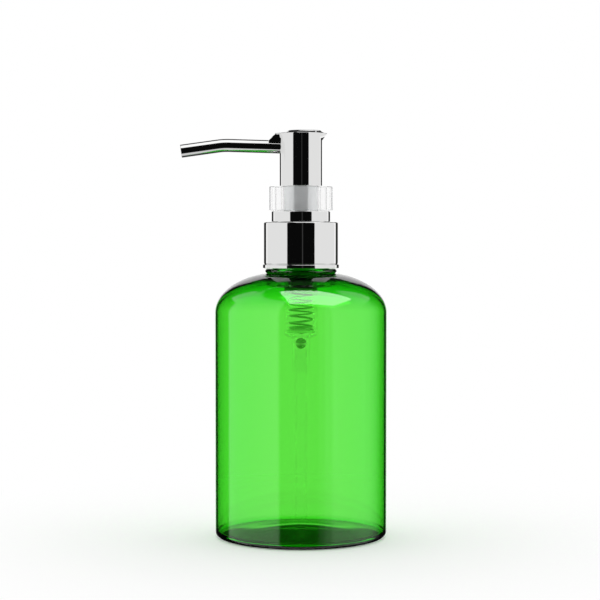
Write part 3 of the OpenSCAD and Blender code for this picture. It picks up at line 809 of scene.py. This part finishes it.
# %% Collar
COLLAR_R = 16.45
TIER_R = 13
EDGE_R = 0.6
SKIN_T = 0.55
BEAD_ROUND = 0.4
BEAD_H = 1.7
GROOVE, GROOVE_FOOT, GROOVE_TOP = 0.12, 0.25, 0.4
TIER_H, TIER_COVE = 4.9, 0.3
COLUMN_HOLE_R = 8.0
collar_foot, tier_top, bead_r = levels("collar_shell")
collar_top = tier_top - TIER_H
bead_top = collar_foot + BEAD_H
collar_outline = rounded([
    (COLLAR_R - SKIN_T, collar_foot, 0), (bead_r, collar_foot, BEAD_ROUND / 2),
    (bead_r, bead_top, BEAD_ROUND), (COLLAR_R - GROOVE, bead_top, 0),
    (COLLAR_R - GROOVE, bead_top + GROOVE_FOOT, 0), (COLLAR_R, bead_top + GROOVE_TOP, 0.05),
    (COLLAR_R, collar_top, EDGE_R), (TIER_R + TIER_COVE, collar_top, 0.1),
    (TIER_R, collar_top + 0.2, 0.1), (TIER_R, tier_top, EDGE_R),
    (COLUMN_HOLE_R, tier_top, 0.15), (COLUMN_HOLE_R, tier_top - SKIN_T, 0),
    (TIER_R - SKIN_T, tier_top - SKIN_T, 0.2), (TIER_R - SKIN_T, collar_top - SKIN_T, 0.1),
    (COLLAR_R - SKIN_T, collar_top - SKIN_T, 0.2),
])
place(lathe("collar_skin", collar_outline), "collar", "chrome", chrome, "collar_shell")

# %% Cap with its thread and grip ribs
CAP_AROUND = 288
CAP_WALL = 1.8
CAP_PLATE_TOP, CAP_PLATE_T = 138.8, 1.3
CAP_RIBS = 24
RIB_SHARE, RIB_END, RIB_STEP = 0.4, 2, 0.1
CAP_GROOVE, CAP_CHAMFER = 0.4, 0.2
CAP_THREAD, CAP_THREAD_START = 0.75, 2.6
TOWER_R, TOWER_IN_R = 12.4, 10.6
cap_foot, tower_top, cap_r = levels("closure_cap")
cap_in_r = cap_r - CAP_WALL
cap_plate_z = CAP_PLATE_TOP - CAP_PLATE_T
ribs_foot, ribs_top = cap_foot + RIB_END, CAP_PLATE_TOP - RIB_END


def cap_shape(r, z, angle):
    """Grooves between the grip ribs outside, the thread inside."""
    if abs(r - cap_in_r) < MM and cap_foot < z < cap_plate_z:
        return r - thread_ridge(z, angle, cap_foot + CAP_THREAD_START, CAP_THREAD)
    if abs(r - cap_r) < MM and ribs_foot < z < ribs_top:
        return r - (CAP_GROOVE if (angle * CAP_RIBS / (2 * math.pi)) % 1 > 1 - RIB_SHARE else 0)
    return r


cap_outline = column_of(cap_in_r, cap_plate_z, cap_foot + CAP_CHAMFER, THREAD_STEP)
cap_outline += [(cap_in_r + CAP_CHAMFER, cap_foot)]
cap_outline += [(cap_r, z) for z in (
    cap_foot, ribs_foot, ribs_foot + RIB_STEP, ribs_top - RIB_STEP, ribs_top, CAP_PLATE_TOP)]
cap_outline += [(TOWER_R, CAP_PLATE_TOP), (TOWER_R, tower_top), (TOWER_IN_R, tower_top)]
cap_outline += [(TOWER_IN_R, CAP_PLATE_TOP), (COLUMN_HOLE_R, CAP_PLATE_TOP), (COLUMN_HOLE_R, cap_plate_z)]
cap = lathe("threaded_cap", cap_outline, CAP_AROUND, cap_shape)
place(cap, "collar", "white_plastic", white_plastic, "closure_cap")

# %% [markdown]
# ## Fixed column
#
# The white column that shows inside the clip doesn't move. It plugs into the pump's cylinder, a snap ring
# holds the cap on it, and the stem and the head slide in it and over it. Its corners are softly rounded, as
# a moulding's are.

# %% Column
COLUMN_R, COLUMN_IN_R, GUIDE_R, BOSS_HOLE_R = 7.7, 6.6, 3.45, 5.3
COLUMN_WEB_T, ROOF_T = 2, 1.2
SNAP_Z, SNAP_T = 139.1, 1.3
column_foot, column_top, snap_r = levels("guide_column")
column_outline = rounded([
    (GUIDE_R, column_foot, 0.2), (COLUMN_R, column_foot, 0.4), (COLUMN_R, SNAP_Z, 0),
    (snap_r, SNAP_Z, 0.1), (snap_r, SNAP_Z + SNAP_T - 0.5, 0.2), (COLUMN_R, SNAP_Z + SNAP_T + 0.4, 0.2),
    (COLUMN_R, column_top, 0.5), (BOSS_HOLE_R, column_top, 0.2), (BOSS_HOLE_R, column_top - ROOF_T, 0.1),
    (COLUMN_IN_R, column_top - ROOF_T, 0.3), (COLUMN_IN_R, column_foot + COLUMN_WEB_T, 0.5),
    (GUIDE_R, column_foot + COLUMN_WEB_T, 0.2),
])
place(lathe("column_moulding", column_outline), "pump", "white_plastic", pearly_plastic, "guide_column")

# %% [markdown]
# ## Lock clip
#
# The clip is one flat outline pulled up: an outer ring open at the back, a hub that snaps round the column,
# and a rib between them on each side. A curve with an extrude and a small bevel is the shortest way to such
# a shape, and it rounds the edges, which catch the light as thin lines down the clear walls.

# %% Outline of the clip
CLIP_IN_R = 11.7
HUB_R, HUB_IN_R = 8.9, 7.85
RIB_HALF = 0.6
RING_OPEN_DEG, HUB_OPEN_DEG = 92, 130
CLIP_BEVEL = 0.06
clip_foot, clip_top, _ = levels("lock_clip")
clip_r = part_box("lock_clip")[1].x / MM


def sweep(r, start, end, step_deg=3):
    """Points round the axis from one angle to another, in degrees."""
    return arc(0, 0, r, r, start, end, max(2, math.ceil(abs(end - start) / step_deg)))


def rib_deg(r):
    """Angle at which a rib's side meets a ring of radius r."""
    return math.degrees(math.asin(RIB_HALF / r))


def round_end(r_from, r_to, at_deg, turn):
    """Half circle that closes a ring's end between two radii."""
    mid, half = (r_from + r_to) / 2, abs(r_from - r_to) / 2
    a = math.radians(at_deg)
    start = at_deg if r_from > r_to else at_deg + 180
    return arc(mid * math.cos(a), mid * math.sin(a), half, half, start, start + turn, 12)[1:-1]


ring_end, hub_end = 90 - RING_OPEN_DEG / 2, 90 - HUB_OPEN_DEG / 2
clip_outer = sweep(clip_r, ring_end, -180 - ring_end) + round_end(clip_r, CLIP_IN_R, 180 - ring_end, -180)
clip_outer += sweep(CLIP_IN_R, 180 - ring_end, 180 - rib_deg(CLIP_IN_R))
clip_outer += sweep(HUB_R, 180 - rib_deg(HUB_R), 180 - hub_end)
clip_outer += round_end(HUB_R, HUB_IN_R, 180 - hub_end, -180)
clip_outer += sweep(HUB_IN_R, 180 - hub_end, 360 + hub_end)
clip_outer += round_end(HUB_IN_R, HUB_R, hub_end, -180)
clip_outer += sweep(HUB_R, hub_end, rib_deg(HUB_R)) + sweep(CLIP_IN_R, rib_deg(CLIP_IN_R), ring_end)
clip_outer += round_end(CLIP_IN_R, clip_r, ring_end, -180)
clip_window = sweep(CLIP_IN_R, -rib_deg(CLIP_IN_R), rib_deg(CLIP_IN_R) - 180)
clip_window += sweep(HUB_R, rib_deg(HUB_R) - 180, -rib_deg(HUB_R))
print("the clip's outline has", len(clip_outer) + len(clip_window), "points")


# %% Extrude the clip
WELD = 0.000002


def evaluated(piece):
    """The mesh that an object comes to, once its curve or its modifier has been worked out."""
    bpy.context.view_layer.update()
    return bpy.data.meshes.new_from_object(piece.evaluated_get(bpy.context.evaluated_depsgraph_get()))


def plate(name, outlines, thickness, bevel, middle, stand=False):
    """A flat plate from outlines in mm: the first is its edge, the rest are holes. It lies in a level plane
    round the height middle, in mm, or stands in the XZ plane."""
    flat = bpy.data.curves.new(name, "CURVE")
    flat.dimensions = "2D"
    flat.fill_mode = "BOTH"
    flat.extrude = (thickness / 2 - bevel) * MM
    flat.bevel_depth = bevel * MM
    flat.bevel_resolution = 0
    flat.offset = -bevel * MM
    for outline in outlines:
        edge = flat.splines.new("POLY")
        edge.points.add(len(outline) - 1)
        for point, (x, y) in zip(edge.points, outline):
            point.co = (x * MM, y * MM, 0, 1)
        edge.use_cyclic_u = True
    drawn = new_object(name, flat)
    mesh = evaluated(drawn)
    bpy.data.objects.remove(drawn)
    bpy.data.curves.remove(flat)
    welded = bmesh.new()
    welded.from_mesh(mesh)
    bpy.data.meshes.remove(mesh)
    bmesh.ops.remove_doubles(welded, verts=welded.verts, dist=WELD)
    for vertex in welded.verts:
        x, y, z = vertex.co
        vertex.co = (x, -z, y) if stand else (x, y, z + middle * MM)
    return finished(name, welded)


clip = plate("clip_moulding", [clip_outer, clip_window], clip_top - clip_foot, CLIP_BEVEL,
             (clip_foot + clip_top) / 2)
place(clip, "clip", "clear_clip", clear_plastic, "lock_clip")

# %% [markdown]
# ## Head
#
# The head is the hardest piece: skirt, boat-shaped top, web and spout are one plated moulding. The skirt is
# round, but near its top it runs out into a point on each side of the spout's line, so the top seen from
# above is like a boat. The web braces the spout under the front point.
#
# A subdivision cage could make it as one, but it would soften the crisp edges. Each form is made exactly by
# its own rule instead, and exact booleans join them and cut the spout's bore.

# %% Skirt, points and crown
HEAD_AROUND = 288
HEAD_R, HEAD_IN_R = 9.4, 8.0
POINT_R = 11.55
CROWN_H, FLARE_H = 1.3, 3.1
CROWN_R, CROWN_SHIFT = 7.6, 1.2
CROWN_ROUND = 0.35
FLARE_STEPS, ROUND_STEPS = 12, 5
SPOUT_DROP = 7.5
CORE_TOP_DROP = 2.05
head_foot, head_top, _ = levels("head_shell")
lip_z = head_top - CROWN_H
flare_z = lip_z - FLARE_H


def towards(angle):
    """A step of length 1 at an angle."""
    return Vector((math.cos(angle), math.sin(angle)))


def boat(angle, reach):
    """Radius at an angle of a circle whose tangents run out to a point on each side."""
    tangent = math.acos(HEAD_R / max(reach, HEAD_R))
    from_point = abs((angle + math.pi / 2) % math.pi - math.pi / 2)
    return HEAD_R / math.cos(max(0, tangent - from_point))


def head_ring(share, angle):
    """Outline of the crown: the boat at share 0, the flat's circle at share 1."""
    rim = towards(angle) * boat(angle, POINT_R)
    flat = Vector((CROWN_SHIFT + CROWN_R * math.cos(angle), CROWN_R * math.sin(angle)))
    return rim.lerp(flat, share)


def head_rings():
    """The head's surface, from inside its cavity, round the skirt's foot, to the middle of the crown."""
    def circle(r, z):
        return [(r * math.cos(a), r * math.sin(a), z) for a in angles]

    angles = [2 * math.pi * k / HEAD_AROUND for k in range(HEAD_AROUND)]
    cavity_top = head_top - CORE_TOP_DROP
    skirt = rounded([
        (HEAD_IN_R, cavity_top, 0), (HEAD_IN_R, head_foot, 0.12),
        (HEAD_R, head_foot, 0.25), (HEAD_R, flare_z, 0)])
    rings = [circle(r, z) for r, z in supported(skirt)[:-2]]
    for i in range(1, FLARE_STEPS + 1):
        z = flare_z + FLARE_H * i / FLARE_STEPS
        reach = HEAD_R + (POINT_R - HEAD_R) * i / FLARE_STEPS
        rings.append([(boat(a, reach) * math.cos(a), boat(a, reach) * math.sin(a), z) for a in angles])
    slope_h = CROWN_H - CROWN_ROUND * 0.3
    levels_up = [(0.02, 0.06), (0.05, 0.13)] + [(0.1 + 0.1 * i, 0.1 + 0.1 * i) for i in range(8)]
    heights = [(share, lip_z + slope_h * rise) for share, rise in levels_up]
    for i in range(1, ROUND_STEPS + 1):
        inward, rise = i / ROUND_STEPS, 1 - (1 - i / ROUND_STEPS) ** 2
        heights.append((0.8 + 0.3 * inward, lip_z + CROWN_H * (0.74 + 0.26 * rise)))
    return rings + [[(*head_ring(share, a), z) for a in angles] for share, z in heights]


def skin_rings(name, rings):
    """A closed mesh from rings of points in mm: neighbours are joined, and both ends are filled."""
    mesh = bmesh.new()
    drawn = [[mesh.verts.new([c * MM for c in point]) for point in ring] for ring in rings]
    for lower, upper in zip(drawn, drawn[1:]):
        for k in range(len(lower)):
            n = (k + 1) % len(lower)
            mesh.faces.new((lower[k], lower[n], upper[n], upper[k]))
    mesh.faces.new(drawn[0])
    mesh.faces.new(drawn[-1])
    return finished(name, mesh)


head = skin_rings("head_plating", head_rings())
print("head body:", len(head.data.polygons), "faces")

# %% Spout and web
SPOUT_R, BORE_WALL = 2.95, 0.75
SPOUT_ROOT, BORE_ROOT = 0.8, 2.6
RUN_L, TIP_L, TIP_ROUND = 31.6, 16.4, 0.15
RUN_RISE_DEG, BEND_DEG, BEND_R, BEND_STEPS = 1.7, 9.6, 30, 8
SPOUT_AROUND = 96
WEB_HALF, WEB_REACH, WEB_ROUND = 2.6, 2.8, 0.2
WEB_ROOT, WEB_LIP, WEB_DROP = 1, 0.3, 0.25
spout_z = head_top - SPOUT_DROP
web_top = lip_z - WEB_DROP


def spout_stations(start, past_tip):
    """Points and directions along the spout's axis, from a distance along the run to past its tip."""
    heading = math.radians(180 - RUN_RISE_DEG)
    along = towards(heading)
    stations = [(Vector((0, spout_z)) + along * d, heading) for d in (start, RUN_L - 0.05, RUN_L)]
    point = stations[-1][0]
    turn = math.radians(BEND_DEG) / BEND_STEPS
    for i in range(BEND_STEPS):
        heading += turn
        point = point + towards(heading - turn / 2) * (turn * BEND_R)
        stations.append((point, heading))
    along = towards(heading)
    stations += [(point + along * d, heading) for d in (0.05, TIP_L + past_tip - 0.2, TIP_L + past_tip)]
    return stations


def rod(name, stations, r, tip_round=0):
    """A round rod along stations in the XZ plane, with its last edge rounded."""
    places = [(point, heading, r) for point, heading in stations]
    if tip_round:
        point, heading, _ = places.pop()
        back = towards(heading)
        for i in range(5):
            a = math.radians(90 * i / 4)
            short, narrow = tip_round * (1 - math.sin(a)), tip_round * (1 - math.cos(a))
            places.append((point - back * short, heading, r - narrow))
    rings = []
    for point, heading, radius in places:
        across = Vector((-math.sin(heading), math.cos(heading)))
        rings.append([(point.x + across.x * radius * math.cos(t), radius * math.sin(t),
                       point.y + across.y * radius * math.cos(t))
                      for t in [2 * math.pi * k / SPOUT_AROUND for k in range(SPOUT_AROUND)]])
    return skin_rings(name, rings)


web_profile = [
    (-HEAD_R + WEB_ROOT, spout_z), (-HEAD_R + WEB_ROOT, web_top), (-POINT_R + WEB_LIP, web_top),
    (-POINT_R - WEB_REACH, web_top - WEB_REACH), (-POINT_R - WEB_REACH, spout_z),
]
web = plate("web", [web_profile], 2 * WEB_HALF, WEB_ROUND, 0, stand=True)
spout = rod("spout", spout_stations(HEAD_R - SPOUT_ROOT, 0), SPOUT_R, TIP_ROUND)
bore = rod("bore", spout_stations(HEAD_R - BORE_ROOT, 1), SPOUT_R - BORE_WALL)
print("spout:", len(spout.data.polygons), "faces, web:", len(web.data.polygons))


# %% Join the head
def boolean(piece, other, operation):
    """Joins another object to a piece or cuts it out, exactly, and removes the other."""
    step = piece.modifiers.new(operation.lower(), "BOOLEAN")
    step.operation = operation
    step.solver = "EXACT"
    step.object = other
    done = evaluated(piece)
    piece.modifiers.remove(step)
    piece.data = done
    bpy.data.objects.remove(other)


boolean(head, spout, "UNION")
boolean(head, web, "UNION")
boolean(head, bore, "DIFFERENCE")
smooth(head.data)
place(head, "plunger", "chrome", chrome, "head_shell")

# %% [markdown]
# ## Return spring
#
# The coil is wound from one wire: a closed turn lies flat at each end and open turns stand between. Its CAD
# node is scaled as the head goes down, and this finer coil rides on the return spring's body.

# %% Spring
WIRE_R, COIL_R = 0.45, 4.9
COIL_TURNS, CLOSED_TURNS, CLOSED_PITCH = 9, 1, 1.04
STEPS_A_TURN, WIRE_SIDES = 40, 12
coil_foot, coil_top, _ = levels("spring")


def coil_height(turn):
    """Height of the wire's centre above the first turn. The closed turns rise only by the wire."""
    closed_rise = 2 * WIRE_R * CLOSED_PITCH
    rise = coil_top - coil_foot - 2 * WIRE_R
    if turn < CLOSED_TURNS:
        return turn * closed_rise
    if turn > COIL_TURNS - CLOSED_TURNS:
        return rise - (COIL_TURNS - turn) * closed_rise
    open_share = (turn - CLOSED_TURNS) / (COIL_TURNS - 2 * CLOSED_TURNS)
    return closed_rise * CLOSED_TURNS + (rise - 2 * closed_rise * CLOSED_TURNS) * open_share


def coil_rings():
    """Rings of points round the wire, from its foot to its top."""
    rings = []
    for i in range(COIL_TURNS * STEPS_A_TURN + 1):
        turn = i / STEPS_A_TURN
        angle = 2 * math.pi * turn
        ring = []
        for k in range(WIRE_SIDES):
            side = 2 * math.pi * k / WIRE_SIDES
            r = COIL_R + WIRE_R * math.cos(side)
            z = coil_foot + WIRE_R + coil_height(turn) + WIRE_R * math.sin(side)
            ring.append((r * math.cos(angle), r * math.sin(angle), z))
        rings.append(ring)
    return rings


coil = skin_rings("coil", coil_rings())
place(coil, "return_spring", "spring_steel", spring_steel, "spring")
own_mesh(coil)

# %% [markdown]
# ## The other pieces
#
# The pump's inner pieces are simple turned shapes that the packed model already holds exactly, so they keep
# their own meshes and only take their finishes.

# %% Finish the pieces that keep their meshes
KEPT = {
    natural_plastic: ("housing", "dip_tube", "spout_liner"),
    white_plastic: ("valve_cage", "valve_rod", "piston", "stem", "actuator_core"),
    foam: ("gasket",),
    spring_steel: ("inlet_ball",),
}
for material, kept_nodes in KEPT.items():
    for node in kept_nodes:
        put_on(frame["nodes"][node], material)
        smooth(frame["nodes"][node].data)
print("kept:", sum(len(kept_nodes) for kept_nodes in KEPT.values()), "nodes")

# %% [markdown]
# ## Finish
#
# The Standard view shows each colour as it is written. This script never changes a size.

# %% Finish
scene = bpy.context.scene
scene.view_settings.view_transform = "Standard"
